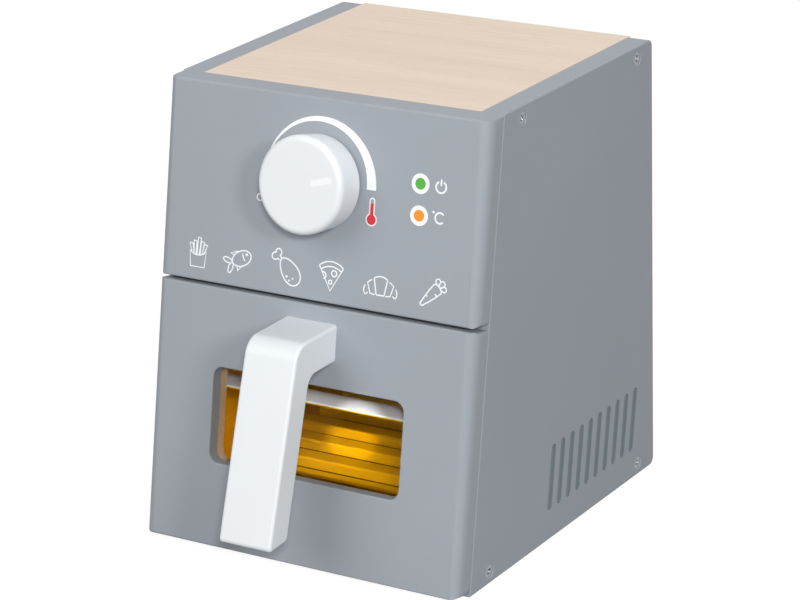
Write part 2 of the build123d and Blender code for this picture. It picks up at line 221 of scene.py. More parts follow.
def duplicate(piece, name, matrix):
    copy = piece.copy()
    copy.data = piece.data.copy()
    copy.name = copy.data.name = name
    bpy.context.scene.collection.objects.link(copy)
    only(copy)
    copy.matrix_world = matrix
    settled()
    return copy


# Materials
def tone(red, green, blue):
    # a colour as a picture editor shows it, as Blender's linear numbers
    linear = []
    for level in (red, green, blue):
        share = level / 255
        linear.append(share / 12.92 if share <= 0.04045 else ((share + 0.055) / 1.055) ** 2.4)
    return (*linear, 1.0)


def startMaterial(name, roughness, **fixed):
    material = bpy.data.materials.new(name)
    material.use_nodes = True
    shader = material.node_tree.nodes["Principled BSDF"]
    shader.inputs["Roughness"].default_value = roughness
    for socket, value in fixed.items():
        shader.inputs[socket.replace("_", " ")].default_value = value
    return material, material.node_tree, shader


def node(tree, kind, sockets=None, **settings):
    made = tree.nodes.new("ShaderNode" + kind)
    for key, value in settings.items():
        setattr(made, key, value)
    for socket, value in (sockets or {}).items():
        if isinstance(value, bpy.types.NodeSocket):
            tree.links.new(value, made.inputs[socket])
        else:
            made.inputs[socket].default_value = value
    return made


def noise(tree, scale, detail=3.0, stretch=(1, 1, 1), place=(0, 0, 0)):
    where = node(tree, "TexCoord").outputs["Object"]
    mapping = node(tree, "Mapping", {"Vector": where, "Scale": stretch, "Location": place})
    texture = node(tree, "TexNoise", {"Vector": mapping.outputs[0], "Scale": scale, "Detail": detail})
    return texture.outputs["Fac"]


def spread(tree, source, low, high, fromLow=0.3, fromHigh=0.7):
    values = {"Value": source, "From Min": fromLow, "From Max": fromHigh, "To Min": low, "To Max": high}
    return node(tree, "MapRange", values).outputs[0]


def mixed(tree, share, first, second, blend="MIX"):
    mix = node(tree, "Mix", data_type="RGBA", blend_type=blend)
    for index, value in ((0, share), (6, first), (7, second)):
        if isinstance(value, bpy.types.NodeSocket):
            tree.links.new(value, mix.inputs[index])
        else:
            mix.inputs[index].default_value = value
    return mix.outputs[2]


def bumpy(tree, shader, source, strength, distance):
    bump = node(tree, "Bump", {"Height": source, "Strength": strength, "Distance": distance * mm})
    tree.links.new(bump.outputs[0], shader.inputs["Normal"])


def paint(name, colour, look):
    # satin paint on sanded wood: faint clouds, a fine roller texture and a trace of the grain
    material, tree, shader = startMaterial(name, look["roughness"], Specular_IOR_Level=look["shine"])
    clouds = noise(tree, look["cloudScale"], 2.0)
    fine = noise(tree, look["fineScale"], 4.0)
    grain = noise(tree, look["fineScale"], 2.0, look["grain"])
    dark = [channel * (1 - look["contrast"]) for channel in colour[:3]] + [1]
    light = [min(1.0, channel * (1 + look["contrast"])) for channel in colour[:3]] + [1]
    base = mixed(tree, spread(tree, clouds, 0, 1), dark, light)
    base = mixed(tree, spread(tree, fine, 0, look["speckle"]), base, light)
    tree.links.new(base, shader.inputs["Base Color"])
    rough = spread(tree, fine, look["roughness"] - 0.05, look["roughness"] + 0.07)
    tree.links.new(rough, shader.inputs["Roughness"])
    height = node(tree, "Math", {0: fine, 1: grain}, operation="ADD").outputs[0]
    bumpy(tree, shader, height, look["bump"], look["bumpHeight"])
    return material


def wood(name, look):
    # close-grained light wood: long streaks, broad bands and small dark flecks along the grain
    material, tree, shader = startMaterial(name, look["roughness"], Specular_IOR_Level=look["shine"])
    streaks = noise(tree, look["streakScale"], 5.0, look["along"])
    bands = noise(tree, look["bandScale"], 2.0, look["along"], (0.3, 0.1, 0.7))
    flecks = noise(tree, look["fleckScale"], 1.0, look["fleckAlong"])
    base = mixed(tree, spread(tree, bands, 0, 1, 0.35, 0.65), look["light"], look["middle"])
    base = mixed(tree, spread(tree, streaks, 0, look["streaks"], 0.4, 0.75), base, look["dark"])
    base = mixed(tree, spread(tree, flecks, 0, look["flecks"], 0.62, 0.72), base, look["dark"])
    tree.links.new(base, shader.inputs["Base Color"])
    bumpy(tree, shader, streaks, look["bump"], look["bumpHeight"])
    return material


def flatFinish(name, colour, roughness, shine=0.5, metal=0.0, change=0.04, scale=400):
    # one colour with a fine mottle in its tone and its gloss
    material, tree, shader = startMaterial(name, roughness, Specular_IOR_Level=shine, Metallic=metal)
    fine = noise(tree, scale, 3.0)
    dark = [channel * (1 - change) for channel in colour[:3]] + [1]
    tree.links.new(mixed(tree, spread(tree, fine, 0, 1), dark, colour), shader.inputs["Base Color"])
    tree.links.new(spread(tree, fine, roughness - 0.04, roughness + 0.06), shader.inputs["Roughness"])
    return material


satin = {"roughness": 0.5, "shine": 0.3, "cloudScale": 14, "fineScale": 1600, "grain": (1, 1, 0.05),
         "contrast": 0.02, "speckle": 0.25, "bump": 0.12, "bumpHeight": 0.05}
whiteSatin = dict(satin, roughness=0.42, shine=0.4, contrast=0.01, speckle=0.15, bump=0.06)
greyPaint = paint("grey_paint", tone(160, 166, 173), satin)
whitePaint = paint("white_paint", tone(236, 240, 243), whiteSatin)
# a darker grey as painted shade of the vent grooves, on their floors and walls alike
ventShadePaint = paint("grey_paint_vent_painted_shade", tone(124, 136, 142), satin)
paleWood = {"roughness": 0.55, "shine": 0.25, "light": tone(246, 228, 210), "middle": tone(242, 222, 203),
            "dark": tone(220, 194, 170), "streakScale": 500, "bandScale": 40, "along": (0.03, 1, 1),
            "streaks": 0.28, "fleckScale": 800, "fleckAlong": (0.15, 1, 1), "flecks": 0.25,
            "bump": 0.08, "bumpHeight": 0.05}
topWood = wood("top_wood", paleWood)
slatWood = wood("slat_wood", dict(paleWood, light=tone(238, 222, 196), middle=tone(230, 210, 180)))
# unpainted wood: the top's pale wood toned darker and warmer, painted shade for the wood inside the drawer
# and in the window's walls
shadedUnpaintedLook = dict(paleWood, light=tone(226, 196, 164), middle=tone(216, 182, 146), dark=tone(186, 148, 110),
                along=(1, 0.02, 1), fleckAlong=(1, 0.12, 1))
shadedUnpaintedWood = wood("bare_wood", dict(shadedUnpaintedLook, along=(0.02, 1, 1), fleckAlong=(0.12, 1, 1)))
shadedUnpaintedWoodAlongDepth = wood("unpainted_wood_painted_shade_along_depth", shadedUnpaintedLook)
# the drawer's hardboard bottom, darkened past its own brown as painted shade between the slats
shadedHardboard = wood("shadedHardboard", dict(shadedUnpaintedLook, light=tone(80, 55, 36), middle=tone(70, 47, 31),
                                   dark=tone(54, 36, 23)))
steel = flatFinish("zinc_steel", tone(158, 160, 164), roughness=0.26, metal=1.0, change=0.25, scale=900)
# the washer's dark grey is partly the felt's own colour and partly a painted shadow line under the knob
feltAndShadowLine = flatFinish("grey_felt", tone(60, 61, 64), roughness=0.95, shine=0.1, change=0.4, scale=2500)
inkWhite = flatFinish("print_white", tone(250, 252, 254), roughness=0.45)
inkRed = flatFinish("print_red", tone(220, 48, 56), roughness=0.45)
inkGreen = flatFinish("print_green", tone(84, 176, 58), roughness=0.45)
inkOrange = flatFinish("print_orange", tone(246, 152, 30), roughness=0.45)
sheet = {"roughness": 0.02, "bending": 1.12, "seenThrough": tone(253, 226, 78),
         "litThrough": tone(226, 208, 120)}


def amberSheet():
    # coloured glass to the eye, and a plain tint that the lamps shine straight through
    material, tree, shader = startMaterial("amber_sheet", sheet["roughness"], IOR=sheet["bending"])
    shader.inputs["Transmission Weight"].default_value = 1.0
    shader.inputs["Base Color"].default_value = sheet["seenThrough"]
    output = tree.nodes["Material Output"]
    clear = node(tree, "BsdfTransparent", {"Color": sheet["litThrough"]})
    lamps = node(tree, "LightPath").outputs["Is Shadow Ray"]
    mix = node(tree, "MixShader", {0: lamps, 1: shader.outputs[0], 2: clear.outputs[0]})
    tree.links.new(mix.outputs[0], output.inputs["Surface"])
    return material


amber = amberSheet()
print("materials made")

# Camera, as the photograph was taken: places in millimetres, the focal length in pixels, and what
# is too near or too far to show in metres
shot = {"place": (790.48, -1267.93, 632.856), "target": (-3.56, 1.21, 100.841), "roll": -1.7507,
        "focal": 3276.748, "pictureWidth": 800, "sensor": 36.0, "near": 0.05, "far": 20.0}


def makeCamera():
    data = bpy.data.cameras.new("camera")
    camera = bpy.data.objects.new("camera", data)
    bpy.context.scene.collection.objects.link(camera)
    data.sensor_width = shot["sensor"]
    data.lens = shot["focal"] * shot["sensor"] / shot["pictureWidth"]
    data.clip_start, data.clip_end = shot["near"], shot["far"]
    look = Vector(shot["target"]) - Vector(shot["place"])
    turn = look.to_track_quat("-Z", "Y").to_matrix().to_4x4()
    roll = Matrix.Rotation(radians(shot["roll"]), 4, "Z")
    camera.matrix_world = Matrix.Translation(Vector(shot["place"]) * mm) @ turn @ roll
    bpy.context.scene.camera = camera


makeCamera()

# Studio: a white sweep, soft light all round, two lamps from the front right, softer lamps from
# the left and above, and a narrow beam through the drawer's window. Sizes and places are in
# metres, the beam's width and target in millimetres.
studio = {"fill": 0.09, "background": 1.0, "floorTone": 0.2, "floorGlow": 0.9, "floorSize": 12.0,
          "right": 18.0, "rightSize": 0.5, "rightPlace": (1.88, -1.32, 1.04),
          "key": 25.0, "keySize": 0.3, "keyPlace": (1.24, -1.8, 1.13),
          "left": 24.0, "leftSize": 2.0, "leftPlace": (-0.9, -1.95, 1.5),
          "top": 18.0, "topSize": 1.2, "topPlace": (0.2, 0.9, 2.4),
          "beam": 130.0, "beamSize": 0.004, "beamPlace": (0.684, -1.041, 0.646),
          "beamWidth": 22.6, "beamBlend": 0.1, "beamTarget": (24.0, -84.0, 71.0)}


def seenDirectly(tree):
    # one where the eye, a mirror or clear glass meets the background itself
    path = node(tree, "LightPath")
    total = node(tree, "Math", {0: path.outputs["Is Camera Ray"], 1: path.outputs["Is Glossy Ray"]},
                 operation="ADD", use_clamp=True)
    return node(tree, "Math", {0: total.outputs[0], 1: path.outputs["Is Transmission Ray"]},
                operation="ADD", use_clamp=True).outputs[0]


def makeWorld():
    sky = bpy.data.worlds.new("studio")
    bpy.context.scene.world = sky
    sky.use_nodes = True
    tree = sky.node_tree
    light = tree.nodes["Background"]
    light.inputs["Color"].default_value = (1, 1, 1, 1)
    strength = spread(tree, seenDirectly(tree), studio["fill"], studio["background"], 0, 1)
    tree.links.new(strength, light.inputs["Strength"])


def hang(name, data, target):
    # hangs a lamp and aims it at a target in millimetres, and tells how many metres off that is
    data.energy = studio[name]
    lamp = bpy.data.objects.new(name, data)
    bpy.context.scene.collection.objects.link(lamp)
    lamp.location = studio[name + "Place"]
    aim = Vector(target) * mm - Vector(studio[name + "Place"])
    lamp.rotation_euler = aim.to_track_quat("-Z", "Y").to_euler()
    return aim.length


def makeSoftLamp(name):
    data = bpy.data.lights.new(name, "AREA")
    data.shape = "DISK"
    data.size = studio[name + "Size"]
    hang(name, data, (0, 0, height / 2))


def makeBeam():
    # as if through a snoot, narrow enough to fall only inside the window
    data = bpy.data.lights.new("beam", "SPOT")
    data.shadow_soft_size = studio["beamSize"]
    data.spot_blend = studio["beamBlend"]
    reach = hang("beam", data, studio["beamTarget"])
    data.spot_size = 2 * atan2(studio["beamWidth"] / 2 * mm, reach)


def makeFloor():
    floor = shape("floor", bpy.ops.mesh.primitive_plane_add, size=studio["floorSize"],
                  location=(0, 0, 0))
    edit(floor)
    bpy.ops.mesh.subdivide(number_cuts=3)
    done()
    material, tree, shader = startMaterial("floor_white", 0.9, Specular_IOR_Level=0.0)
    shader.inputs["Base Color"].default_value = (*[studio["floorTone"]] * 3, 1)
    shader.inputs["Emission Color"].default_value = (1, 1, 1, 1)
    tree.links.new(spread(tree, seenDirectly(tree), 0, studio["floorGlow"], 0, 1),
                   shader.inputs["Emission Strength"])
    floor.data.materials.append(material)


makeWorld()
for name in ("right", "key", "left", "top"):
    makeSoftLamp(name)
makeBeam()
makeFloor()
bpy.context.scene.view_settings.view_transform = "Standard"
print("camera and studio ready")

# Side panels
panel = {"rearLow": (4.0, 8), "rearHigh": (3.0, 6), "arris": (0.7, 3), "vents": 10, "ventPitch": 9.2,
         "ventWidth": 4.3, "ventDepth": 0.6, "ventLow": 15.0, "ventHigh": 47.0, "ventSides": 32,
         "lastVent": 19.7, "sinkWidth": 7.2, "sinkSides": 48}
screw = {"head": 6.8, "rimHigh": 0.25, "rim": (0.12, 2), "shank": 3.5, "length": 32.0, "sides": 40,
         "sunk": 0.45, "crossWidth": 1.3, "crossSpan": 4.6, "crossDepth": 1.5,
         "crossTaper": (0.3, 0.7, 1), "firstTurn": 0.5, "nextTurn": 0.9,
         "places": ((16.5, "top", "front"), (15.3, "top", "rear"),
                    (18.3, "low", "front"), (17.2, "low", "rear"))}


def screwPlaces():
    # where the four screws of a side stand, along the depth and up
    places = []
    for inset, level, end in screw["places"]:
        z = height - board / 2 if level == "top" else board / 2
        frontEdge = rakedY(height) if level == "top" else footY
        places.append((frontEdge + inset if end == "front" else rearY - inset, z))
    return places


def ventCutters(side):
    # leaning slots with round ends: the upper half of each short cylinder is moved up and back
    radius = panel["ventWidth"] / 2
    rise = panel["ventHigh"] - panel["ventLow"] - panel["ventWidth"]
    lean = Vector((0, rise * tan(rake), rise))
    cutters = []
    for step in range(panel["vents"]):
        y = rearY - panel["lastVent"] - step * panel["ventPitch"] - lean.y
        z = panel["ventLow"] + radius
        middle = Vector((side * halfWidth, y, z))
        cutter = shape("vent", bpy.ops.mesh.primitive_cylinder_add, vertices=panel["ventSides"],
                       radius=radius, depth=2 * panel["ventDepth"], location=middle,
                       rotation=(0, pi / 2, 0))
        edit(cutter)
        across = Vector((0, lean.z, -lean.y)).normalized()
        pick("VERT", lambda spot, run: across.cross(spot - middle).x > -0.001)
        bpy.ops.transform.translate(value=lean)
        done()
        cutters.append(cutter)
    return cutters


def sinkCutter(side, y, z):
    radius = panel["sinkWidth"] / 2
    return shape("sink", bpy.ops.mesh.primitive_cone_add, vertices=panel["sinkSides"],
                 radius1=2 * radius, radius2=0, depth=2 * radius,
                 location=(side * halfWidth, y, z), rotation=(0, -side * pi / 2, 0))


def inShadedVent(spot, run):
    # floors and walls of the vent grooves, whichever way they face: the faces that take the painted shade
    # of the grooves
    sunk = halfWidth - panel["ventDepth"] - 0.01 < abs(spot.x) < halfWidth - 0.01
    level = panel["ventLow"] - 1 < spot.z < panel["ventHigh"] + 1
    return sunk and level and footY + board < spot.y < rearY - board


def makeSidePanel(side, nodeName):
    x = sorted((side * innerHalf, side * halfWidth))
    piece = block(nodeName + "_painted", (x[0], footY, 0), (x[1], rearY, height))
    edit(piece)
    bpy.ops.mesh.select_all(action="SELECT")
    bpy.ops.mesh.bisect(plane_co=(0, footY, 0), plane_no=(0, -cos(rake), sin(rake)),
                        use_fill=True, clear_outer=True)
    pick("EDGE", lambda spot, run: near(abs(run.x), 1) and near(spot.y, rearY) and near(spot.z, 0))
    rounded(*panel["rearLow"])
    pick("EDGE", lambda spot, run: near(abs(run.x), 1) and near(spot.y, rearY) and near(spot.z, height))
    rounded(*panel["rearHigh"])
    pick("EDGE", lambda spot, run: near(spot.x, side * halfWidth))
    rounded(*panel["arris"])
    done()
    boolean(piece, ventCutters(side) + [sinkCutter(side, y, z) for y, z in screwPlaces()])
    place(piece, world, "housing", "grey_paint", greyPaint, [nodeName])
    # the vent grooves take the darker grey of painted shade
    secondFinish(piece, ventShadePaint, world, inShadedVent)


for side, word in ((1, "right"), (-1, "left")):
    makeSidePanel(side, "side_panel_" + word)
print("side panels made")


# Countersunk cross-head screws
def makeScrew():
    half = screw["head"] / 2
    cone = half - screw["shank"] / 2
    piece = halfSection("screw", [(0, 0), (half, 0), (half, -screw["rimHigh"]),
                                  (screw["shank"] / 2, -cone), (screw["shank"] / 2, -screw["length"]),
                                  (0, -screw["length"])])
    spun(screw["sides"])
    outwards(piece)
    edit(piece)
    pick("EDGE", lambda spot, run: near(spot.z, 0) and near(spot.xy.length, half, 0.1))
    rounded(*screw["rim"])
    done()
    for turn in (0, pi / 2):
        arm = block("arm", (-screw["crossSpan"] / 2, -screw["crossWidth"] / 2, -screw["crossDepth"]),
                    (screw["crossSpan"] / 2, screw["crossWidth"] / 2, 1))
        edit(arm)
        pick("VERT", lambda spot, run: spot.z < 0)
        bpy.ops.transform.resize(value=screw["crossTaper"], center_override=(0, 0, 0))
        done()
        arm.matrix_world = Matrix.Rotation(turn, 4, "Z")
        settled()
        boolean(piece, [arm])
    return piece


def makeSideScrews(side, nodeName):
    model = makeScrew()
    copies = []
    for step, (y, z) in enumerate(screwPlaces()):
        spot = Matrix.Translation((side * (halfWidth - screw["sunk"]), y, z))
        driven = screw["firstTurn"] + screw["nextTurn"] * step
        turn = Matrix.Rotation(side * pi / 2, 4, "Y") @ Matrix.Rotation(driven, 4, "Z")
        copies.append(duplicate(model, nodeName + "_part", spot @ turn))
    bpy.data.objects.remove(model)
    bpy.ops.object.select_all(action="DESELECT")
    for copy in copies:
        copy.select_set(True)
    bpy.context.view_layer.objects.active = copies[0]
    bpy.ops.object.join()
    piece = named(nodeName + "_crosshead")
    return place(piece, world, "housing", "zinc_steel", steel, [nodeName])


for side, word in ((1, "right"), (-1, "left")):
    makeSideScrews(side, "side_screws_" + word)
print("screws made")

# Front boards: each is where three rounded prisms meet
front = {"split": 127.0, "gap": 1.6, "floorGap": 2.5, "upright": (6.0, 12), "level": (1.3, 5),
         "arris": (0.7, 3), "upperHigh": (2.0, 6), "upperLow": (3.5, 8), "drawerHigh": (2.0, 6),
         "drawerLow": (4.5, 8), "bore": 10.4, "boreSides": 48, "knobBelowTop": 38.757, "over": 20,
         "capBelow": 50, "capReach": 300}
faceLength = height / cos(rake)
splitSlope = front["split"] / cos(rake)
knobSlope = faceLength - front["knobBelowTop"]
window = {"width": 105.0, "low": 43.5, "high": 89.7, "corner": (5.0, 8), "arris": (0.8, 3), "painted": 6.8}


def boardPrisms(low, high, cornerLow, cornerHigh=None):
    # the board as a prism seen along the slope, one from the front and one from the side; without
    # upper corners it runs on to a level top
    over = front["over"]
    levelTop = cornerHigh is None
    overTop = over if levelTop else 0
    shift = board * tan(rake) if levelTop else 0
    plan = block("plan", (-halfWidth, low - over, -board), (halfWidth, high + over, 0))
    edit(plan)
    pick("EDGE", lambda spot, run: near(abs(run.y), 1) and near(spot.z, 0))
    rounded(*front["upright"])
    pick("EDGE", lambda spot, run: near(abs(run.y), 1) and near(spot.z, -board))
    rounded(*front["arris"])
    done()
    square = block("square", (-halfWidth, low, -board - over), (halfWidth, high + overTop, over))
    edit(square)
    pick("EDGE", lambda spot, run: near(abs(run.z), 1) and near(spot.y, low))
    rounded(*cornerLow)
    if not levelTop:
        pick("EDGE", lambda spot, run: near(abs(run.z), 1) and near(spot.y, high))
        rounded(*cornerHigh)
    done()
    side = block("side", (-halfWidth - over, low, -board), (halfWidth + over, high + shift, 0))
    edit(side)
    if levelTop:
        bpy.ops.mesh.select_all(action="SELECT")
        bpy.ops.mesh.bisect(plane_co=(0, high, 0), plane_no=(0, cos(rake), sin(rake)),
                            use_fill=True, clear_outer=True)
    pick("EDGE", lambda spot, run: near(abs(run.x), 1) and near(spot.z, 0))
    rounded(*front["level"])
    pick("EDGE", lambda spot, run: near(abs(run.x), 1) and near(spot.z, -board) and near(spot.y, low))
    rounded(*front["arris"])
    done()
    return plan, [square, side]


def makeUpperPanel():
    piece, tools = boardPrisms(splitSlope, faceLength, front["upperLow"])
    piece.name = "upper_front_painted"
    boolean(piece, tools, "INTERSECT")
    cap = block("cap", (-halfWidth, -front["capReach"], -front["capBelow"]),
                (halfWidth, front["capReach"], height))
    edit(cap)
    pick("EDGE", lambda spot, run: near(abs(run.y), 1) and near(spot.z, height))
    rounded(*front["upperHigh"])
    done()
    cap.matrix_world = rakedFace().inverted() @ world
    boolean(piece, [cap], "INTERSECT")
    boolean(piece, [shape("bore", bpy.ops.mesh.primitive_cylinder_add, vertices=front["boreSides"],
                          radius=front["bore"] / 2, depth=4 * board, location=(0, knobSlope, 0))])
    return place(piece, rakedFace(), "housing", "grey_paint", greyPaint, ["upper_front_panel"])


def inWindow(spot, over):
    half = window["width"] / 2 + over
    return abs(spot.x) < half and window["low"] - over < spot.y < window["high"] + over


def makeDrawerFront():
    low = front["floorGap"] / cos(rake)
    high = splitSlope - front["gap"]
    piece, tools = boardPrisms(low, high, front["drawerLow"], front["drawerHigh"])
    piece.name = "drawer_front_painted"
    boolean(piece, tools, "INTERSECT")
    half = window["width"] / 2
    opening = block("opening", (-half, window["low"], -2 * board), (half, window["high"], board))
    edit(opening)
    pick("EDGE", lambda spot, run: near(abs(run.z), 1))
    rounded(*window["corner"])
    done()
    boolean(piece, [opening])
    edit(piece)
    pick("EDGE", lambda spot, run: near(spot.z, 0) and inWindow(spot, 1))
    rounded(*window["arris"])
    pick("FACE", lambda spot, run: inWindow(spot, 0.1) and near(run.z, 0))
    bpy.ops.mesh.bisect(plane_co=(0, 0, -window["painted"]), plane_no=(0, 0, 1))
    done()
    place(piece, rakedFace(closedGap), "drawer", "grey_paint", greyPaint, ["drawer_front"])
    # its back face and the inner part of the window's walls take the unpainted wood with its painted shade
    secondFinish(piece, shadedUnpaintedWood, rakedFace(closedGap), lambda spot, run:
                 near(spot.z, -board) or (inWindow(spot, 0.1) and spot.z < -window["painted"]))


makeUpperPanel()
makeDrawerFront()
print("front boards made")

# Handle
handle = {"width": 28.4, "low": 100.6, "high": 118.1, "reach": 42.0, "foot": 27.5, "lean": 18.5,
          "thick": 14.3, "footSlope": 4.0, "outerBend": (10.0, 16), "innerBend": (6.5, 12),
          "footRound": (2.0, 5), "edge": (2.0, 6)}


def turnAt(points, index):
    # how far an outline turns at one of its points
    before = Vector(points[index]) - Vector(points[index - 1])
    after = Vector(points[(index + 1) % len(points)]) - Vector(points[index])
    return before.angle(after)


def makeHandle():
    # outline: the arm's top at the wall, the outer bend, the grip's foot, the inner bend and the
    # arm's underside at the wall
    lean = radians(handle["lean"])
    footFront = footY - handle["reach"] - board / cos(rake)
    bendOut = footFront + (handle["high"] - handle["foot"]) * tan(lean)
    thick = handle["thick"] / cos(lean)
    rise = handle["thick"] * tan(radians(handle["footSlope"]))
    bendIn = footFront + thick + (handle["low"] - handle["foot"]) * tan(lean)
    wallHigh = outerFoot - closedGap + handle["high"] * tan(rake)
    wallLow = outerFoot - closedGap + handle["low"] * tan(rake)
    x = -handle["width"] / 2
    points = [(x, wallHigh, handle["high"]), (x, bendOut, handle["high"]),
              (x, footFront, handle["foot"]),
              (x, footFront + thick + rise * tan(lean), handle["foot"] + rise),
              (x, bendIn, handle["low"]), (x, wallLow, handle["low"])]
    piece = outline("handle_bent", points)
    edit(piece)
    for index, bend in ((1, "outerBend"), (4, "innerBend"), (2, "footRound"), (3, "footRound")):
        corner, (radius, steps) = points[index], handle[bend]
        pick("VERT", lambda spot, run: near(spot.y, corner[1]) and near(spot.z, corner[2]))
        rounded(radius * tan(turnAt(points, index) / 2), steps, "VERTICES")
    pick("FACE", lambda spot, run: True)
    stretched(handle["width"], 0, 0)
    done()
    outwards(piece)
    edit(piece)
    pick("EDGE", lambda spot, run: near(abs(spot.x), handle["width"] / 2) and near(run.x, 0)
         and not near(spot.y, (wallHigh + wallLow) / 2))
    rounded(*handle["edge"])
    done()
    return place(piece, world, "drawer", "white_paint", whitePaint, ["handle"], angle=40)


makeHandle()
print("handle made")

# Knob
knob = {"base": 44.5, "wide": 46.0, "front": 18.0, "wideAt": 14.0, "rim": (3.0, 8), "foot": (0.5, 3),
        "gap": 0.9, "bore": 10.1, "boreDepth": 11, "sides": 96}
pointer = {"angle": 15.0, "start": 6.5, "end": 18.0, "width": 3.0, "corner": (0.9, 6), "deep": 0.5,
           "proud": 0.04}


def knobFace():
    # the raked front, with its middle on the knob's shaft
    return rakedFace() @ Matrix.Translation((0, knobSlope, 0))


def makeKnob():
    wide, base, bore = knob["wide"] / 2, knob["base"] / 2, knob["bore"] / 2
    boreEnd = knob["gap"] + knob["boreDepth"]
    piece = halfSection("knob_turned", [(0, knob["front"]), (wide, knob["front"]),
                                        (wide, knob["wideAt"]), (base, knob["gap"]),
                                        (bore, knob["gap"]), (bore, boreEnd), (0, boreEnd)])
    pick("VERT", lambda spot, run: near(spot.x, wide) and near(spot.z, knob["front"]))
    rounded(*knob["rim"], "VERTICES")
    pick("VERT", lambda spot, run: near(spot.x, base) and near(spot.z, knob["gap"]))
    rounded(*knob["foot"], "VERTICES")
    spun(knob["sides"])
    return place(piece, knobFace(), "knob", "white_paint", whitePaint, ["knob"], angle=35)


def makePointer():
    half = pointer["width"] / 2
    piece = block("knob_pointer_mark", (pointer["start"], -half, knob["front"] - pointer["deep"]),
                  (pointer["end"], half, knob["front"] + pointer["proud"]))
    edit(piece)
    pick("EDGE", lambda spot, run: near(abs(run.z), 1))
    rounded(*pointer["corner"])
    done()
    spot = knobFace() @ Matrix.Rotation(radians(pointer["angle"]), 4, "Z")
    return place(piece, spot, "knob", "pointer_white", inkWhite, ["knob_pointer"])


makeKnob()
makePointer()
print("knob made")

# Prints on the upper panel, in millimetres across and up the slope: plain marks of arcs and lines
ink = {"line": 0.65, "thick": 0.12, "stepAngle": 12, "lift": 0.05, "sink": 0.1, "aside": 0.8}


def arc(x, y, radius, start, end, tall=1.0, tilt=0.0, fat=0.0):
    # points of an arc or an oval; fat makes the far end of an oval wider, as an egg is
    count = max(4, round(abs(end - start) / ink["stepAngle"]))
    points = []
    for step in range(count + 1):
        angle = radians(start + (end - start) * step / count)
        across = radius * cos(angle)
        up = radius * tall * sin(angle) * (1 + fat * cos(angle))
        points.append((x + across * cos(radians(tilt)) - up * sin(radians(tilt)),
                       y + across * sin(radians(tilt)) + up * cos(radians(tilt))))
    return points


def loop(points):
    return points + points[:1]


def turned(points, angle):
    run, rise = cos(radians(angle)), sin(radians(angle))
    return [(x * run - y * rise, x * rise + y * run) for x, y in points]


def mirrored(points):
    return [(-x, y) for x, y in points]


def drawn(name, strokes, x, y, wide=ink["line"]):
    # each stroke is a thin ribbon, closed where it ends on its first point
    curve = bpy.data.curves.new(name, "CURVE")
    curve.dimensions = "3D"
    curve.bevel_depth = wide / 2
    curve.bevel_resolution = 1
    curve.use_fill_caps = True
    for points in strokes:
        closed = (Vector(points[0]) - Vector(points[-1])).length < 0.01
        run = points[:-1] if closed else points
        spline = curve.splines.new("POLY")
        spline.points.add(len(run) - 1)
        for corner, point in zip(spline.points, run):
            corner.co = (x + point[0], y + point[1], 0, 1)
        spline.use_cyclic_u = closed
    ribbon = bpy.data.objects.new(name, curve)
    bpy.context.scene.collection.objects.link(ribbon)
    only(ribbon)
    bpy.ops.object.convert(target="MESH")
    piece = named(name)
    piece.scale.z = ink["thick"] / wide
    piece.location.x = ink["aside"]
    settled()
    return place(piece, rakedFace(), "housing", "pointer_white", inkWhite, angle=80)


def filled(name, points, material, slotName=None, lift=ink["lift"]):
    piece = outline(name, [(x, y, -ink["sink"]) for x, y in points])
    edit(piece)
    bpy.ops.mesh.select_all(action="SELECT")
    stretched(0, 0, ink["sink"] + lift)
    done()
    return place(piece, rakedFace(), "housing", slotName, material)


def friesSign():
    strokes = [loop(arc(0, 12.2, 6.6, 226, 314) + [(3.9, 0), (-3.9, 0)])]
    chips = ((-3.0, 6.8, -3.9, 11.2), (-1.6, 5.9, -1.7, 12.5), (0.1, 5.6, 0.7, 14.2),
             (1.7, 5.9, 2.6, 12.4), (3.1, 6.9, 4.4, 11.2))
    for foot, footUp, top, topUp in chips:
        strokes.append([(foot - 0.6, footUp), (top - 0.85, topUp - 0.1), (top + 0.85, topUp - 0.3),
                        (foot + 0.6, footUp)])
    return strokes


def fishSign():
    body = arc(0, 0, 5.5, 0, 360, 0.64, 25)
    tail = [arc(-7.7, -1.7, 2.6, 0, 360, 0.45, 165), arc(-6.0, -5.1, 2.6, 0, 360, 0.45, 72)]
    fins = [[(-2.0, 3.2), (-6.3, 1.9), (-4.0, 0.9)], [(-2.6, -3.2), (-2.0, -6.0), (0.9, -3.0)]]
    return [body, arc(5.0, 2.6, 4.6, 181, 229), arc(2.7, 2.2, 0.4, 0, 360)] + tail + fins


def drumstickSign():
    bone = [arc(-6.5, 8.3, 1.6, -60, 200), arc(-8.4, 6.2, 1.7, 70, 330),
            [(-5.7, 6.9), (-4.8, 5.5)], [(-6.9, 5.4), (-6.0, 4.5)]]
    dots = [arc(-1.5, -2.5, 0.3, 0, 360), arc(-0.1, -4.3, 0.15, 0, 360), arc(1.8, -3.2, 0.15, 0, 360)]
    return [arc(0, 0, 7.2, 0, 360, 0.62, -50, 0.2)] + bone + dots


def pizzaSign():
    crust = [arc(0, 3.7, 10.0, 49.5, 130.5), arc(0, 2.1, 9.3, 55, 125)]
    slices = [arc(1.7, 8.3, 1.4, 0, 360), arc(-0.2, 4.1, 0.9, 0, 360), arc(-4.3, 6.8, 1.6, -75, 95)]
    return [[(-6.5, 11.2), (0, 0), (6.5, 11.2)]] + crust + slices


def croissantSign():
    strokes = [arc(0, 3.06, 6.44, 56, 124), [(-2.1, 0.8), (2.1, 0.8)]]
    for part in ([(3.6, 8.4), (2.1, 0.8)], [(4.7, 7.6), (7.0, 6.0), (5.4, 1.1), (2.9, 0.7)],
                 [(8.2, 4.8), (8.9, 2.9), (8.9, 1.6), (8.1, 0.3), (6.6, 1.3)]):
        strokes += [part, mirrored(part)]
    return strokes


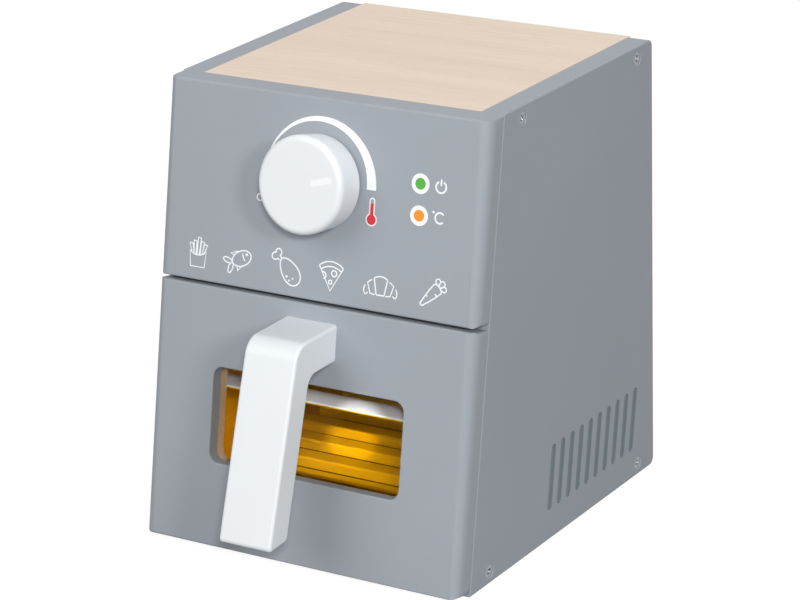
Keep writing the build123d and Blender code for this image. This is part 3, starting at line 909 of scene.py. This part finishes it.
def carrotSign():
    # drawn with its tip at the left, then turned
    edge = [(12.0, 2.7), (8.0, 2.3), (4.0, 1.6), (1.5, 1.0)]
    other = [(x, -y) for x, y in reversed(edge)]
    strokes = [loop(edge + arc(0.95, 0, 0.95, 90, 270) + other + arc(9.0, 0, 4.0, -42, 42)[1:-1])]
    for reach, aside in ((14.2, 2.3), (15.3, 0), (14.2, -2.3)):
        foot = (12.7, 0.4 * aside)
        strokes.append([foot] + arc(reach, aside, 1.25, -110, 110, tilt=14 * aside) + [foot])
    strokes += [[(5.2, 1.8), (5.2, 0.6)], [(9.2, -0.9), (9.2, -2.3)]]
    return [turned(points, 45) for points in strokes]


def thermometer():
    middle, bulb = 28.0, 171.2
    glass = loop(arc(0, 8.7, 1.2, 0, 180) + arc(0, 0, 2.7, 116.4, 423.6))
    drawn("print_thermometer", [glass], middle, bulb, 0.62)
    red = arc(0, 0, 2.4, 111, 429) + [(0.86, 7.5), (-0.86, 7.5)]
    filled("print_thermometer_red", [(middle + ink["aside"] + x, bulb + y) for x, y in red], inkRed)


def powerArc():
    # a white crescent round the knob, widest at the right and gone behind the knob's left
    swell = {"x": 0.0, "y": 184.7, "radius": 30.4, "wide": 5.0, "tip": 0.05, "end": 178, "count": 60}
    outer, inner = [], []
    for step in range(swell["count"] + 1):
        share = step / swell["count"]
        angle = radians(swell["end"] * share)
        wide = swell["wide"] * (1 - share) + swell["tip"]
        for points, radius in ((outer, swell["radius"]), (inner, swell["radius"] - wide)):
            points.append((swell["x"] + radius * cos(angle), swell["y"] + radius * sin(angle)))
    filled("print_arc", outer + inner[::-1], inkWhite, "pointer_white")


signs = {"fries": (friesSign(), -66.0, 135.5), "fish": (fishSign(), -41.2, 143.0),
         "drumstick": (drumstickSign(), -14.3, 140.9), "pizza": (pizzaSign(), 8.3, 135.2),
         "croissant": (croissantSign(), 35.2, 136.4), "carrot": (carrotSign(), 56.9, 136.4)}
for name, drawing in signs.items():
    drawn("print_" + name, *drawing)
thermometer()
powerArc()
drawn("print_ring", [arc(0, 0, 1.55, 0, 360)], -33.0, 173.3, 0.7)
drawn("print_power", [arc(0, 0, 2.65, 119, 421), [(0, 0.5), (0, 3.5)]], 63.5, 191.0, 0.85)
drawn("print_celsius", [arc(0, 0, 2.45, 40, 314), arc(-3.5, 2.4, 0.2, 0, 360)], 63.9, 176.9, 0.85)
for name, x, y, material in (("green", 53.5, 191.2, inkGreen), ("orange", 53.8, 176.6, inkOrange)):
    filled("print_lamp_" + name + "_rim", arc(x, y, 4.7, 0, 360)[:-1], inkWhite, "pointer_white")
    filled("print_lamp_" + name, arc(x, y, 2.7, 0, 360)[:-1], material, lift=2 * ink["lift"])
print("prints made")

# Amber pane and the level rail whose thin lip covers the pane's top edge
pane = {"thick": 2.0, "below": 7.5, "lip": 5.5, "lipThick": 1.2, "lipEndSpace": 1.0, "arris": (0.35, 2),
        "railTop": 75.28, "railThick": 2.0, "railDepth": 13.5, "railLip": 0.5, "fit": 0.1}


def makePane():
    railLow = pane["railTop"] - pane["railLip"]
    top = (railLow - pane["fit"] + board * sin(rake)) / cos(rake)
    low = window["low"] - pane["below"]
    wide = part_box("window_pane")[1].x / mm
    piece = block("window_pane_amber", (-wide, low, -board - pane["thick"]), (wide, top, -board))
    half = window["width"] / 2 - window["corner"][0] - pane["lipEndSpace"]
    lip = block("lip", (-half, window["low"], -board - pane["thick"] / 2),
                (half, window["low"] + pane["lipThick"], pane["lip"] - board))
    boolean(piece, [lip], "UNION")
    edit(piece)
    pick("EDGE", lambda spot, run: near(abs(run.x), 1))
    rounded(*pane["arris"])
    done()
    return place(piece, rakedFace(closedGap), "drawer", "amber_sheet", amber, ["window_pane"])


def makePaneRail():
    top = pane["railTop"]
    lipLow, low = top - pane["railLip"], top - pane["railThick"]
    rear = rakedY(top, closedGap) + pane["railDepth"]
    step = rakedY(low, closedGap) + pane["thick"] / cos(rake) + 4 * pane["fit"]
    points = [(rakedY(lipLow, closedGap), lipLow), (rakedY(top, closedGap), top), (rear, top),
              (rear, low), (step, low), (step, lipLow)]
    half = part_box("pane_rail")[1].x / mm
    piece = outline("pane_rail_white", [(-half, y, z) for y, z in points])
    edit(piece)
    bpy.ops.mesh.select_all(action="SELECT")
    stretched(2 * half, 0, 0)
    done()
    return place(piece, world, "drawer", "white_paint", whitePaint, ["pane_rail"])


makePane()
makePaneRail()
print("pane and rail made")

# Finishes of the boards and pieces that stay as they are
finishes = {greyPaint: ["rear_panel"], topWood: ["top_board"],
            shadedUnpaintedWood: ["bottom_board", "divider_shelf", "drawer_back", "front_panel_tongues",
                       "knob_shaft"],
            shadedUnpaintedWoodAlongDepth: ["drawer_side_left", "drawer_side_right", "rack_rail_left", "rack_rail_right"],
            slatWood: ["rack_slat_" + str(step + 1) for step in range(7)],
            shadedHardboard: ["drawer_bottom"],
            steel: ["handle_screws", "knob_retaining_washer", "knob_retaining_screw"],
            feltAndShadowLine: ["knob_felt_washer"]}
for material, names in finishes.items():
    for name in names:
        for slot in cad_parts[name].material_slots:
            slot.link = "OBJECT"
            slot.material = material
print("finishes given")
